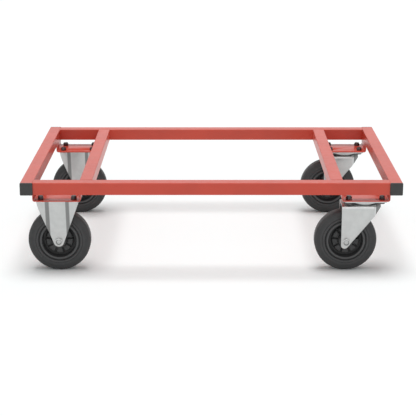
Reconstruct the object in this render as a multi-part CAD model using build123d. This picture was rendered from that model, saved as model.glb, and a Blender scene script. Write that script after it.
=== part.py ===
"""Pallet dolly: a square-tube frame on two fixed and two swivel castors.

Millimetres. The origin is on the floor under the middle of the frame. X runs along the dolly,
Y across it and Z up. The fixed castors are at -X, the swivel castors at +X.
"""

from build123d import *
from math import atan2, acos, cos, hypot, radians, sin, tan
import os

# Tube frame
frame_length = 1200.0  # over the end tubes
frame_depth = 800.0  # length of the end tubes
tube_size = 40.0
tube_wall = 3.0
tube_corner = 3.0  # outside corner radius
bay_width = 144.0  # clear gap between an end tube and the cross tube beside it

# End caps
cap_head = 5.0
cap_edge = 1.2
cap_plug_depth = 18.0
cap_plug_wall = 2.0
cap_clearance = 0.15  # plug to tube wall

# Castor carriers
carrier_sheet = 3.0
carrier_drop = 25.0  # underside of the tubes to underside of the carrier
carrier_depth = 120.0
carrier_setback = 12.0  # from the outer face of the frame
carrier_bend = 4.0  # inside bend radius
flange_setback = 1.0  # flange behind the side face of the tube

# Wheels
wheel_diameter = 200.0
wheel_width = 50.0
tyre_height = 35.5  # tread to drum
shoulder_height = 8.0
shoulder_width = 9.0
shoulder_steps = 3  # straight flanks that make up the round of a shoulder
flank_taper = 2.5  # narrowing from the ring to the shoulder on each side
ring_breadth = 7.0  # raised ring on the sidewall
ring_step = 1.0  # ring above the flank
ring_draft = 1.5
bead_height = 5.0
drum_inset = 4.5
groove_width = 3.0  # between tyre and lip
lip_breadth = 6.0
lip_inset = 0.5
channel_slope = 3.0  # draft of the lip's inner wall
channel_floor = 6.5
channel_web = 6.0  # web thickness in the channel
pad_draft = 4.0
pad_web = 28.0  # web thickness at the pads
moat_web = 12.0  # web thickness in the groove round the hub
moat_width = 3.5
hub_radius = 22.0
hub_overhang = 5.0  # hub past the tyre
hub_bore = 13.0
slot_count = 9  # slots that part the pads
slot_width = 7.5
slot_draft = 2.5  # on each wall
tyre_clearance = 0.1
cage_sides = 12
cage_fit = 0.1  # in the hub
cage_clearance = 0.3  # round the axle tube

# Axles
axle_radius = 6.0
axle_tube_radius = 10.0
axle_clearance = 0.2
axle_head = 5.0
axle_nut = 8.0
axle_flats = 22.0
axle_end = 3.0  # thread past the nut
hub_play = 0.5  # hub to spacer
bracket_play = 1.0  # hub to fixed leg
spacer_length = 7.5
spacer_radius = 15.0
thread_clearance = 0.1

# Castor plates and their fasteners
plate_length = 135.0
plate_width = 110.0
plate_sheet = 5.0
plate_corner = 10.0
bolt_spacing_x = 105.0
bolt_spacing_y = 75.0
bolt_radius = 5.0
bolt_clearance = 0.5
bolt_flats = 17.0
bolt_head = 6.4
nut_height = 8.0
bolt_end = 3.5  # thread past the nut

# Swivel heads
swivel_offset = 57.0  # kingpin to axle
race_radius = 45.0
race_depth = 10.0
race_edge = 3.0
race_gap = 3.0
ball_pitch_radius = 36.0
ball_radius = 3.0
ball_clearance = 0.3
king_radius = 8.0
king_head_radius = 14.0
king_head = 6.0
king_clearance = 0.5
king_fit = 0.1  # in the plate and the lower race
king_recess = 0.5  # top of the kingpin under the face of the plate
race_washer_radius = 28.0
race_washer = 5.0
swivel_play = 0.3

# Swivel forks
fork_sheet = 4.0
fork_bend = 6.0
fork_lead = 52.0  # kingpin to the leading edge of the crown
fork_shoulder = 9.0  # leading edge of a leg under the crown
fork_corner = 5.0
fork_back = 16.5  # axle to the trailing edge
fork_foot = 21.0  # axle to the lowest point of a leg
fork_toe = 11.5  # rounding of a leg's foot
fork_wing = 20.0  # leading part of a leg that is bent inwards
wing_turn = 45.0  # degrees
headroom = 18.0  # tyre to crown

# Fixed brackets
bracket_length = 130.0
bracket_sheet = 4.0
bracket_bend = 3.0
panel_width = 52.0
panel_step = 4.0
joggle_width = 12.0
bracket_tip = 16.5
bracket_shoulder = 40.0  # height of the rounded shoulders
shoulder_inset = 10.0  # narrower on each side at the foot of the shoulders
bracket_flat = 30.0  # upright part of a leg above the axle

# Derived places
axle_z = wheel_diameter / 2
drum_radius = axle_z - tyre_height
hub_length = wheel_width + 2 * hub_overhang
crown_bottom = wheel_diameter + headroom
crown_top = crown_bottom + fork_sheet
race_bottom = crown_top + race_gap
plate_bottom = race_bottom + race_depth
castor_top = plate_bottom + plate_sheet
tube_bottom = castor_top + carrier_drop
tube_middle = tube_bottom + tube_size / 2
end_x = (frame_length - tube_size) / 2
rail_y = (frame_depth - tube_size) / 2
cross_x = end_x - tube_size - bay_width
castor_x = end_x - (tube_size + bay_width) / 2
castor_y = frame_depth / 2 - carrier_setback - carrier_depth / 2
swivel_axle_x = castor_x - swivel_offset
fork_inside = hub_length + 2 * (hub_play + spacer_length)
fork_width = fork_inside + 2 * fork_sheet
bracket_inside = hub_length + 2 * bracket_play

ROWS = {"front": -1, "rear": 1}
ENDS = {"left": -1, "right": 1}
CORNERS = [(row, end) for row in ROWS for end in ENDS]


def square_tube(length):
    """A length of square tube along Z, centred on the origin."""
    outside = RectangleRounded(tube_size, tube_size, tube_corner)
    inside = Rectangle(tube_size - 2 * tube_wall, tube_size - 2 * tube_wall)
    return extrude(outside - inside, length / 2, both=True)


def end_tube(end):
    return Pos(ENDS[end] * end_x, 0, tube_middle) * Rot(90, 0, 0) * square_tube(frame_depth)


def cross_tube(end):
    length = frame_depth - 2 * tube_size
    return Pos(ENDS[end] * cross_x, 0, tube_middle) * Rot(90, 0, 0) * square_tube(length)


def rail(row):
    length = frame_length - 2 * tube_size
    return Pos(0, ROWS[row] * rail_y, tube_middle) * Rot(0, 90, 0) * square_tube(length)


def end_cap(row, end):
    """A plug cap: a rounded head over the tube's end and a hollow plug inside it."""
    plug = tube_size - 2 * tube_wall - 2 * cap_clearance
    head = extrude(RectangleRounded(tube_size, tube_size, tube_corner), cap_head)
    head = chamfer(head.faces().sort_by(Axis.Z)[-1].edges(), cap_edge)
    hollow = Rectangle(plug, plug) - Rectangle(plug - 2 * cap_plug_wall, plug - 2 * cap_plug_wall)
    cap = head + extrude(hollow, -cap_plug_depth)
    place = Pos(ENDS[end] * end_x, ROWS[row] * frame_depth / 2, tube_middle)
    return place * Rot(-90 * ROWS[row], 0, 0) * cap


def bolt_places():
    """The four fastener positions of a castor, about its centre."""
    return GridLocations(bolt_spacing_x, bolt_spacing_y, 2, 2)


def bolt_holes():
    """Four upright cutters for the fastener holes, about a castor's centre."""
    cutter = Pos(0, 0, castor_top) * Cylinder(bolt_radius + bolt_clearance, 2 * carrier_drop)
    return [place * cutter for place in bolt_places()]


def castor_place(row, end):
    return Pos(ENDS[end] * castor_x, ROWS[row] * castor_y, 0)


def carrier(row, end):
    """A folded channel, open to the front and rear, with its flanges under the two tubes."""
    inside = bay_width + 2 * flange_setback
    outer = Rectangle(inside + 2 * carrier_sheet, carrier_drop, align=(Align.CENTER, Align.MIN))
    outer = fillet(outer.vertices().group_by(Axis.Y)[0], carrier_bend + carrier_sheet)
    inner = Rectangle(inside, carrier_drop, align=(Align.CENTER, Align.MIN))
    inner = fillet(inner.vertices().group_by(Axis.Y)[0], carrier_bend)
    section = Plane.XZ * Pos(0, castor_top) * (outer - Pos(0, carrier_sheet) * inner)
    channel = extrude(section, carrier_depth / 2, both=True)
    return castor_place(row, end) * (channel - bolt_holes())


def hexagon(flats):
    return RegularPolygon(flats / 2, 6, major_radius=False)


def castor_bolt(seat):
    """A hex bolt with its head under the castor plate, whose underside is at seat."""
    top = castor_top + carrier_sheet + nut_height + bolt_end
    shank = Pos(0, 0, seat) * extrude(Circle(bolt_radius), top - seat)
    return shank + Pos(0, 0, seat) * extrude(hexagon(bolt_flats), -bolt_head)


def castor_bolts():
    seats = {"left": castor_top - bracket_sheet, "right": plate_bottom}
    bolts = [
        castor_place(row, end) * place * castor_bolt(seats[end])
        for row, end in CORNERS
        for place in bolt_places()
    ]
    return Compound(bolts)


def castor_nuts():
    seat = castor_top + carrier_sheet
    section = hexagon(bolt_flats) - Circle(bolt_radius + thread_clearance)
    nut = Pos(0, 0, seat) * extrude(section, nut_height)
    nuts = [castor_place(row, end) * place * nut for row, end in CORNERS for place in bolt_places()]
    return Compound(nuts)


def tangent_point(centre, radius, point, side):
    """Where the line from point touches the circle; side picks one of the two tangents."""
    dx, dy = point[0] - centre[0], point[1] - centre[1]
    turn = atan2(dy, dx) + side * acos(radius / hypot(dx, dy))
    return centre[0] + radius * cos(turn), centre[1] + radius * sin(turn)


def bracket_outline():
    """A fixed leg from the front: rounded shoulders, straight tapering edges and a round tip."""
    half = bracket_length / 2
    tip = (0, axle_z)
    low = (half - shoulder_inset, castor_top - bracket_shoulder)
    touch = tangent_point(tip, bracket_tip, low, -1)
    slope = Vector(low[0] - touch[0], low[1] - touch[1])
    right = Line(touch, low) + TangentArc(low, (half, castor_top), tangent=slope)
    left = mirror(right, Plane.YZ)
    bottom = ThreePointArc(touch, (0, axle_z - bracket_tip), (-touch[0], touch[1]))
    top = Line((half, castor_top), (-half, castor_top))
    return make_face([*right.edges(), *left.edges(), bottom, top])


def bracket_edge(side):
    """The pressed line of a leg's outer face, seen from above: wings with a stepped centre panel."""
    wing = plate_width / 2
    inner = panel_width / 2
    outer = inner + joggle_width
    half = bracket_length / 2
    points = [(-half, wing), (-outer, wing), (-inner, wing - panel_step)]
    points += [(-x, y) for x, y in reversed(points)]
    return [(x, side * y) for x, y in points]


def bracket_leg(side):
    """One pressed leg that leans in from the edge of the plate and stands upright at the axle."""
    line = bracket_edge(side)
    sheet = [(x, y - side * bracket_sheet) for x, y in reversed(line)]
    lean_top = castor_top - bracket_sheet
    lean_foot = axle_z + bracket_flat
    reach = plate_width / 2 - panel_step - bracket_inside / 2 - bracket_sheet
    section = Pos(0, 0, lean_top) * make_face(Polyline(*line, *sheet, close=True))
    lean = Solid.extrude(section.face(), (0, -side * reach, lean_foot - lean_top))
    foot = Box(bracket_length, bracket_sheet, bracket_flat + bracket_tip)
    foot_y = side * (bracket_inside + bracket_sheet) / 2
    foot = Pos(0, foot_y, axle_z + (bracket_flat - bracket_tip) / 2) * foot
    outline = extrude(Plane.XZ * bracket_outline(), plate_width, both=True)
    return (lean + foot) & outline


def fixed_bracket(row):
    """A fixed castor's bracket, pressed from one sheet: top plate and two legs."""
    edge = make_face(Polyline(*bracket_edge(1), *reversed(bracket_edge(-1)), close=True))
    top = Pos(0, 0, castor_top) * extrude(edge, -bracket_sheet)
    body = top + bracket_leg(1) + bracket_leg(-1)
    rim = body.faces().sort_by(Axis.Z)[-1].edges()
    bends = [edge for edge in rim if abs(edge.center().X) < bracket_length / 2 - bracket_bend]
    body = fillet(bends, bracket_bend)
    axle_hole = Pos(0, 0, axle_z) * Rot(90, 0, 0) * Cylinder(axle_radius + axle_clearance, 2 * plate_width)
    return castor_place(row, "left") * (body - bolt_holes() - axle_hole)


def swivel_plate(row):
    """A swivel castor's top plate with the upper race pressed out of its underside."""
    plate = Pos(0, 0, plate_bottom) * extrude(
        RectangleRounded(plate_length, plate_width, plate_corner), plate_sheet
    )
    race = Pos(0, 0, race_bottom) * extrude(Circle(race_radius), race_depth)
    race = chamfer(race.faces().sort_by(Axis.Z)[0].edges(), race_edge)
    shaft = Pos(0, 0, plate_bottom) * Cylinder(king_radius + king_fit, 2 * (plate_sheet + race_depth))
    head = plate + race - shaft - ball_groove() - bolt_holes()
    return castor_place(row, "right") * head


def ball_section(radius):
    """The four-point ball track's section, half way up the gap between the races."""
    middle = crown_top + race_gap / 2
    return Plane.XZ * Pos(ball_pitch_radius, middle) * RegularPolygon(radius, 4)


def ball_groove():
    return revolve(ball_section(ball_radius + ball_clearance), Axis.Z)


def ball_ring(row):
    return castor_place(row, "right") * revolve(ball_section(ball_radius), Axis.Z)


def kingpins():
    """Rivets through the swivel heads, with their round heads under the lower races."""
    top = castor_top - king_recess
    seat = crown_bottom - swivel_play - race_washer
    shank = Pos(0, 0, seat) * extrude(Circle(king_radius), top - seat)
    head = Pos(0, 0, seat) * extrude(Circle(king_head_radius), -king_head)
    head = chamfer(head.faces().sort_by(Axis.Z)[0].edges(), king_head / 2)
    return Compound([castor_place(row, "right") * (shank + head) for row in ROWS])


def lower_races():
    """Dished rings on the kingpins that hold the crowns up against the balls."""
    ring = Circle(race_washer_radius) - Circle(king_radius + king_fit)
    washer = Pos(0, 0, crown_bottom - swivel_play) * extrude(ring, -race_washer)
    rim = washer.faces().sort_by(Axis.Z)[0].outer_wire().edges()
    washer = chamfer(rim, race_washer / 2)
    return Compound([castor_place(row, "right") * washer for row in ROWS])


def fork_outline():
    """A swivel fork from the side, about the kingpin: upright trailing edge, raked leading edge, round toe."""
    back = -swivel_offset - fork_back
    toe = (back + fork_toe, axle_z - fork_foot + fork_toe)
    corner = (fork_lead, crown_top - fork_shoulder)
    touch = tangent_point(toe, fork_toe, corner, -1)
    toe_turn = (atan2(touch[1] - toe[1], touch[0] - toe[0]) - radians(180)) / 2
    toe_middle = (toe[0] + fork_toe * cos(toe_turn), toe[1] + fork_toe * sin(toe_turn))
    edges = [
        Line((back, toe[1]), (back, crown_top)),
        Line((back, crown_top), (fork_lead, crown_top)),
        Line((fork_lead, crown_top), corner),
        Line(corner, touch),
        ThreePointArc(touch, toe_middle, (back, toe[1])),
    ]
    return make_face(edges)


def fork_block(inset):
    """A fork's outside, or its hollow when inset: rounded along the top, bent inwards at the leading end."""
    side = fork_width / 2 - inset
    radius = fork_bend + fork_sheet - inset
    back = -swivel_offset - 2 * fork_back
    start = fork_lead - fork_wing - inset * tan(radians(wing_turn / 2))
    stop = fork_lead + fork_sheet
    nose = side - (stop - start) * tan(radians(wing_turn))
    half = [(back, side), (start, side), (stop, nose)]
    other = [(x, -y) for x, y in reversed(half)]
    bottom = axle_z - fork_foot
    plan = Pos(0, 0, bottom) * make_face(Polyline(*half, *other, close=True))
    block = extrude(plan, crown_top - inset - bottom)
    block = fillet(block.edges().filter_by(Axis.Z).group_by(Axis.X)[1], radius)
    rim = block.faces().sort_by(Axis.Z)[-1].edges()
    return fillet(rim - rim.filter_by(Axis.Y), radius)


def fork(row):
    """A swivel fork, pressed to a U from one sheet, with the ball groove in its crown."""
    sheet = fork_block(0) - fork_block(fork_sheet)
    body = sheet & extrude(Plane.XZ * fork_outline(), fork_width, both=True)
    shaft = Pos(0, 0, crown_top) * Cylinder(king_radius + king_clearance, 2 * (race_gap + fork_sheet))
    axle_hole = Rot(90, 0, 0) * Cylinder(axle_radius + axle_clearance, 2 * fork_width)
    body = body - shaft - ball_groove() - Pos(-swivel_offset, 0, axle_z) * axle_hole
    leading_corners = body.edges().filter_by(Axis.Y).group_by(Axis.X)[-1].group_by(Axis.Z)[0]
    return castor_place(row, "right") * fillet(leading_corners, fork_corner)


def axle_place(row, end):
    """A wheel's centre, with local Z along the axle towards the front."""
    x = -castor_x if end == "left" else swivel_axle_x
    return Pos(x, ROWS[row] * castor_y, axle_z) * Rot(90, 0, 0)


def axle_bolt(inside, sheet):
    """A hex bolt through both legs, with its head at the front."""
    face = inside / 2 + sheet
    shank = Pos(0, 0, face) * extrude(Circle(axle_radius), -(2 * face + axle_nut + axle_end))
    return shank + Pos(0, 0, face) * extrude(hexagon(axle_flats), axle_head)


def axle_nut_piece(inside, sheet):
    ring = hexagon(axle_flats) - Circle(axle_radius + thread_clearance)
    return Pos(0, 0, -inside / 2 - sheet) * extrude(ring, -axle_nut)


def axle_tube(inside):
    """The tube that the wheel turns on, clamped between the legs."""
    ring = Circle(axle_tube_radius) - Circle(axle_radius + axle_clearance)
    return extrude(ring, inside / 2, both=True)


def axle_spacers(row):
    """Two rings on the axle tube that fill the room between hub and fork legs."""
    ring = Circle(spacer_radius) - Circle(axle_tube_radius + axle_clearance)
    spacer = Pos(0, 0, hub_length / 2 + hub_play) * extrude(ring, spacer_length)
    place = axle_place(row, "right")
    return Compound([place * spacer, place * Rot(180, 0, 0) * spacer])


def turned(half):
    """Turn a symmetrical section about the axle; half is its radius and distance points on one side."""
    other = [(radius, -along) for radius, along in reversed(half)]
    return revolve(Plane.XZ * make_face(Polyline(*half, *other, close=True)), Axis.Z)


def tyre(row, end):
    """A solid rubber tyre: bonded bore, bead, raised ring, tapering flanks and rounded shoulders."""
    side = wheel_width / 2
    tread = wheel_diameter / 2
    ring = drum_radius + bead_height
    flank = side - ring_step
    half = [
        (drum_radius + tyre_clearance, side - drum_inset),
        (ring, side),
        (ring + ring_breadth, side),
        (ring + ring_breadth + ring_draft, flank),
    ]
    for step in range(shoulder_steps + 1):
        turn = radians(90 * step / shoulder_steps)
        radius = tread - shoulder_height * (1 - sin(turn))
        half.append((radius, flank - flank_taper - shoulder_width * (1 - cos(turn))))
    return axle_place(row, end) * turned(half)


def wheel_centre(row, end):
    """A moulded wheel centre: drum, raised lips, deep channels, slotted pads and hub."""
    side = wheel_width / 2
    lip = drum_radius - groove_width
    foot = lip - lip_breadth
    channel = foot - channel_slope
    pad = channel - channel_floor - pad_draft
    half = [
        (hub_bore, hub_length / 2),
        (hub_radius, hub_length / 2),
        (hub_radius, moat_web / 2),
        (hub_radius + moat_width, moat_web / 2),
        (hub_radius + moat_width, pad_web / 2),
        (pad, pad_web / 2),
        (pad + pad_draft, channel_web / 2),
        (channel, channel_web / 2),
        (foot, side - lip_inset),
        (lip, side - lip_inset),
        (drum_radius, side - drum_inset),
    ]
    wall = slot_width / 2
    slot = Polyline(
        (-wall, pad_web / 2),
        (-wall + slot_draft, moat_web / 2),
        (wall - slot_draft, moat_web / 2),
        (wall, pad_web / 2),
        close=True,
    )
    start = hub_radius + moat_width / 2
    stop = channel - channel_floor / 2
    cutter = Pos(start, 0, 0) * extrude(Plane.YZ * make_face(slot), stop - start)
    cutters = PolarLocations(0, slot_count, start_angle=90) * (cutter + mirror(cutter, Plane.XY))
    return axle_place(row, end) * (turned(half) - cutters)


def roller_cage(row, end):
    """The caged rollers in the hub, drawn as one faceted ring."""
    outer = RegularPolygon(hub_bore - cage_fit, cage_sides)
    inner = RegularPolygon(axle_tube_radius + cage_clearance, cage_sides, major_radius=False)
    return axle_place(row, end) * extrude(outer - inner, hub_length / 2, both=True)


def build_nodes():
    """Every node of the dolly by name."""
    nodes = {}
    for end in ENDS:
        nodes[f"end_tube_{end}"] = end_tube(end)
        nodes[f"cross_tube_{end}"] = cross_tube(end)
    for row in ROWS:
        nodes[f"{row}_rail"] = rail(row)
        nodes[f"fixed_bracket_{row}"] = fixed_bracket(row)
        nodes[f"swivel_plate_{row}"] = swivel_plate(row)
        nodes[f"ball_ring_{row}"] = ball_ring(row)
        nodes[f"fork_{row}"] = fork(row)
        place = axle_place(row, "right")
        nodes[f"swivel_axle_bolt_{row}"] = place * axle_bolt(fork_inside, fork_sheet)
        nodes[f"swivel_axle_nut_{row}"] = place * axle_nut_piece(fork_inside, fork_sheet)
        nodes[f"swivel_axle_tube_{row}"] = place * axle_tube(fork_inside)
        nodes[f"axle_spacers_{row}"] = axle_spacers(row)
    for row, end in CORNERS:
        nodes[f"carrier_{row}_{end}"] = carrier(row, end)
        nodes[f"end_cap_{row}_{end}"] = end_cap(row, end)
        nodes[f"tyre_{row}_{end}"] = tyre(row, end)
        nodes[f"wheel_centre_{row}_{end}"] = wheel_centre(row, end)
        nodes[f"roller_cage_{row}_{end}"] = roller_cage(row, end)
    nodes["castor_bolts"] = castor_bolts()
    nodes["castor_nuts"] = castor_nuts()
    nodes["kingpins"] = kingpins()
    nodes["lower_races"] = lower_races()
    bolt = axle_bolt(bracket_inside, bracket_sheet)
    nut = axle_nut_piece(bracket_inside, bracket_sheet)
    tube = axle_tube(bracket_inside)
    nodes["fixed_axle_bolts"] = Compound([axle_place(row, "left") * bolt for row in ROWS])
    nodes["fixed_axle_nuts"] = Compound([axle_place(row, "left") * nut for row in ROWS])
    nodes["fixed_axle_tubes"] = Compound([axle_place(row, "left") * tube for row in ROWS])
    return nodes


os.makedirs("parts", exist_ok=True)
for name, shape in build_nodes().items():
    export_step(shape, f"parts/{name}.step")
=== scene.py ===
"""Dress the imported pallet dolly: caps, wheels, fasteners, castors, finishes, studio and camera.

Metres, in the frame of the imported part: X along the dolly, Y across it, Z up from the floor.
"""

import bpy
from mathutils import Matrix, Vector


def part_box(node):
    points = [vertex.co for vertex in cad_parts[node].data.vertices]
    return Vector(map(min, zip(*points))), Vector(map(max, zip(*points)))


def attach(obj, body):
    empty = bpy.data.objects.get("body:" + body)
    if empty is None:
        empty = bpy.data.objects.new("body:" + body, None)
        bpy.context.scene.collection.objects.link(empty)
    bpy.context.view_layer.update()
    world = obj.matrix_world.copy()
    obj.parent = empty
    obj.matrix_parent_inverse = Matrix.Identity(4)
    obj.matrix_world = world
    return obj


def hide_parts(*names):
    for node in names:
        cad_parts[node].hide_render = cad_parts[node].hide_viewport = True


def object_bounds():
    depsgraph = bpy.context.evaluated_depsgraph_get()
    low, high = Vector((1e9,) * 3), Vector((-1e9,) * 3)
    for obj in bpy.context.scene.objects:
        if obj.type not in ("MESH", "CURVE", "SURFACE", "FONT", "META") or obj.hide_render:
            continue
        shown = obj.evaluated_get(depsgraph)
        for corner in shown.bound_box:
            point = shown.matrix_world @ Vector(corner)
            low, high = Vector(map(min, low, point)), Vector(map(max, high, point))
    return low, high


bl_info = {
    "name": "Pallet dolly looks",
    "version": (1, 0, 0),
    "blender": (4, 5, 0),
    "location": "View3D > Sidebar > Dolly",
    "description": "Models and finishes the dolly's pieces over the packed part",
    "category": "Object",
}

from math import cos, hypot, pi, radians

import bmesh
import bpy
from bpy.props import FloatProperty, FloatVectorProperty, IntProperty, PointerProperty
from mathutils import Matrix, Vector

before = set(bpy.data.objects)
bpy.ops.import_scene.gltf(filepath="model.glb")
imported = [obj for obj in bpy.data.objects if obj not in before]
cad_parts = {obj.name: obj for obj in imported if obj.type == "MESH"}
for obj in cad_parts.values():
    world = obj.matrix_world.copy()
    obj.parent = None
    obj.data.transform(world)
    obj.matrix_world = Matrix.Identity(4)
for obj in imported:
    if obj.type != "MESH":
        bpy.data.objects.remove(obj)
CAD_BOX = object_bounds()

ROWS = ("front", "rear")
ENDS = ("left", "right")
CORNERS = [f"{row}_{end}" for row in ROWS for end in ENDS]

OVERLAP = 0.001  # by which tools run past what they cut or join
MERGE = 1e-6  # points nearer to each other than this are one
TOUCH = 1e-5  # points this near to a level lie on it
NEAR = 2e-4  # the same for rims and pads that shaping may have moved
FACING = 0.99  # part of a normal along an axis from which a face looks along it
FLAT = radians(0.5)  # faces that differ by less make one flat face
SHEARED = radians(40)  # sharper edges are sheared ones

HEX_SIDES = 6
ROD_SIDES = 32
CONE_SIDES = 48  # of chamfering cones and collars
NUT_TURN = 17  # degrees from nut to nut, as a spanner leaves them

AXLE_SHADE = 0.95  # brightness against the zinc of the pressings
SPACER_SHADE = 0.9
NOISE_RANGE = (0.3, 0.7)  # in which most of a noise pattern lies
MOTTLE_RANGE = (0.35, 0.65)  # over which mottling goes from dark to light
STRIP_EDGE = (0.4, 0.6)  # parts of its width, from its middle, over which a strip fades
WAVE_LENGTH = 0.314  # of the ring pattern at a scale of 1

FLOOR_SIZE = 60
SENSOR_WIDTH = 36  # millimetres
CLIP_END = 100


def middle(node):
    """The centre of a CAD node's box."""
    low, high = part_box(node)
    return (low + high) / 2


def half(node, axis):
    """Half the size of a CAD node's box along x, y or z."""
    low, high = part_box(node)
    return (getattr(high, axis) - getattr(low, axis)) / 2


def colours():
    """The colours that are set."""
    return bpy.context.scene.dolly_colours


def setting(kind, **options):
    """A maker of one kind of setting."""

    def make(name, description, default, **limits):
        return kind(name=name, description=description, default=default, **options, **limits)

    return make


a_colour = setting(FloatVectorProperty, size=3, subtype="COLOR", min=0, max=1)
a_place = setting(FloatVectorProperty, size=3, subtype="TRANSLATION", unit="LENGTH")
a_length = setting(FloatProperty, unit="LENGTH")
an_angle = setting(FloatProperty, subtype="ANGLE", unit="ROTATION")
a_number = setting(FloatProperty)
a_shade = setting(FloatProperty, min=0)
a_count = setting(IntProperty)


class DollyColours(bpy.types.PropertyGroup):
    """Colours of the dolly's finishes."""

    red: a_colour("Red coat", "Powder coat of tubes and carriers", (0.55, 0.054, 0.027))
    cap: a_colour("Caps", "Plastic plugs in the end tubes", (0.045, 0.045, 0.045))
    zinc: a_colour("Zinc", "Plated castor pressings", (0.52, 0.52, 0.515))
    rubber: a_colour("Rubber", "Tyres", (0.042, 0.042, 0.043))
    moulding: a_colour("Wheel centre", "Moulded wheel centres", (0.053, 0.053, 0.054))
    black_steel: a_colour("Black steel", "Castor nuts and bolts", (0.02, 0.02, 0.021))
    bearing: a_colour("Bearing steel", "Balls, rollers and axle tubes", (0.42, 0.42, 0.43))
    floor: a_colour("Floor", "Studio floor", (0.925, 0.957, 0.957))


class WheelSizes(bpy.types.PropertyGroup):
    """Sizes of tyres and wheel centres."""

    sides: a_count("Sides", "Flats round a wheel", 144, min=48, max=360)
    tread_half: a_length("Tread", "Half the tread's width before rounding", 0.02)
    shoulder: a_length("Shoulder", "Rounding from tread to flank", 0.009)
    flank_inner: a_length("Flank inside", "Radius at the flank's inner edge", 0.0768)
    flank_step: a_length("Flank step", "Flank's inner edge behind the ring", 0.0007)
    groove_place: a_length("Groove place", "Radius of the groove's bottom", 0.0748)
    groove_depth: a_length("Groove depth", "Groove's bottom behind the ring", 0.0018)
    ring_outer: a_length("Ring outside", "Outer radius of the sidewall's ring", 0.0728)
    ring_inner: a_length("Ring inside", "Inner radius of that ring", 0.068)
    ring_round: a_length("Ring rounding", "Rounding of the ring's edges", 0.0007)
    drum_inset: a_length("Drum inset", "Tyre seat behind the sidewall", 0.0045)
    tyre_gap: a_length("Tyre gap", "Tyre bore outside the drum", 0.0001)
    lip_outer: a_length("Lip outside", "Outer radius of the raised lip", 0.0615)
    lip_inner: a_length("Lip inside", "Inner radius of the raised lip", 0.0555)
    lip_rise: a_length("Lip rise", "Lip above the tyre seat", 0.004)
    lip_round: a_length("Lip rounding", "Rounding of the lip", 0.0012)
    channel_outer: a_length("Channel outside", "Outer edge of the channel's floor", 0.0525)
    channel_inner: a_length("Channel inside", "Inner edge of the channel's floor", 0.046)
    channel_half: a_length("Channel web", "Half the web's thickness in the channel", 0.003)
    pad_outer: a_length("Pad outside", "Outer radius of the pads", 0.042)
    pad_inner: a_length("Pad inside", "Inner radius of the pads", 0.0255)
    pad_half: a_length("Pad web", "Half the web's thickness at the pads", 0.014)
    pad_round: a_length("Pad rounding", "Rounding of the pads' edges", 0.0014)
    moat_half: a_length("Moat web", "Half the web's thickness in the slots", 0.006)
    hub_radius: a_length("Hub radius", "Outside of the hub", 0.022)
    hub_round: a_length("Hub rounding", "Rounding of the hub's ends", 0.001)
    hub_bore: a_length("Hub bore", "Bore of the hub", 0.013)
    # Lip shade sets a painted highlight on the wheel centre's lip.
    lip_shade: a_shade("Lip shade", "Brightness against the wheel centre", 1.5)
    # Channel shade sets painted shade in the wheel centre's channel.
    channel_shade: a_shade("Channel shade", "Brightness against the wheel centre", 0.7)
    # Ring shade sets a painted highlight on the tyre's raised ring.
    ring_shade: a_shade("Ring shade", "Brightness against the tyre", 1.14)
    # Groove width and shade set a band of painted shade in the groove's bottom.
    groove_width: a_length("Groove width", "Width of the groove's dull bottom", 0.0028)
    groove_shade: a_shade("Groove shade", "Brightness against the tyre", 0.88)
    # These three set a band of painted shade on the flank; the flank has no hollow in its shape.
    hollow_place: a_length("Hollow place", "Radius of the darker hollow on the flank", 0.087)
    hollow_width: a_length("Hollow width", "Width of that hollow", 0.011)
    hollow_shade: a_shade("Hollow shade", "Brightness against the tyre", 0.83)
    slot_count: a_count("Slots", "Slots that part the pads", 9, min=3, max=24)
    slot_width: a_length("Slot width", "Width of a slot at the pads' face", 0.0075)
    slot_draft: a_length("Slot draft", "Slope of each wall of a slot", 0.0025)


class FastenerSizes(bpy.types.PropertyGroup):
    """Sizes of bolts and nuts."""

    castor_flats: a_length("Castor flats", "Castor bolts across flats", 0.017)
    castor_shank: a_length("Castor shank", "Radius of the castor bolts", 0.0048)
    axle_flats: a_length("Axle flats", "Axle bolts across flats", 0.022)
    axle_shank: a_length("Axle shank", "Radius of the axle bolts", 0.0058)
    castor_head: a_length("Castor head", "Height of a castor bolt's head", 0.0064)
    axle_head: a_length("Axle head", "Height of an axle bolt's head", 0.005)
    collar_radius: a_length("Collar radius", "Locking collar on a castor nut", 0.0079)
    collar_height: a_length("Collar height", "Collar above the nut", 0.0031)
    collar_round: a_length("Collar rounding", "Rounding of the collar's rim", 0.0007)
    nut_gap: a_length("Nut gap", "Bore of a nut outside the shank", 0.0002)
    thread_root: a_number("Thread root", "Thread's root against its crest", 0.87, min=0.5, max=1)
    thread_pitch: a_length("Thread pitch", "Ridge to ridge on a bolt's end", 0.0011)
    dish_radius: a_length("Dish radius", "Dish in the face of an axle head", 0.009)
    dish_depth: a_length("Dish depth", "Depth of that dish", 0.003)
    dish_taper: a_number("Dish taper", "Floor of the dish against its rim", 0.75, min=0.1, max=1)
    # Dish line and dish shade paint a shadow line round the dish.
    dish_line: a_length("Dish line", "Width of the dull line round the dish", 0.0026)
    dish_shade: a_shade("Dish shade", "Brightness against the zinc", 0.45)
    pit_radius: a_length("Pit radius", "Pit in the middle of the dish", 0.004)
    pit_depth: a_length("Pit depth", "Depth of the pit from the head's face", 0.0045)
    pit_taper: a_number("Pit taper", "Floor of the pit against its rim", 0.95, min=0.1, max=1)
    chamfer: a_length("Chamfer", "Height of a head's or nut's chamfer", 0.0009)
    chamfer_outer: a_number("Chamfer foot", "Foot of its cone against the flats", 1.2, min=1)
    chamfer_inner: a_number("Chamfer face", "Face inside it against the flats", 0.98, max=1)


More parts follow.
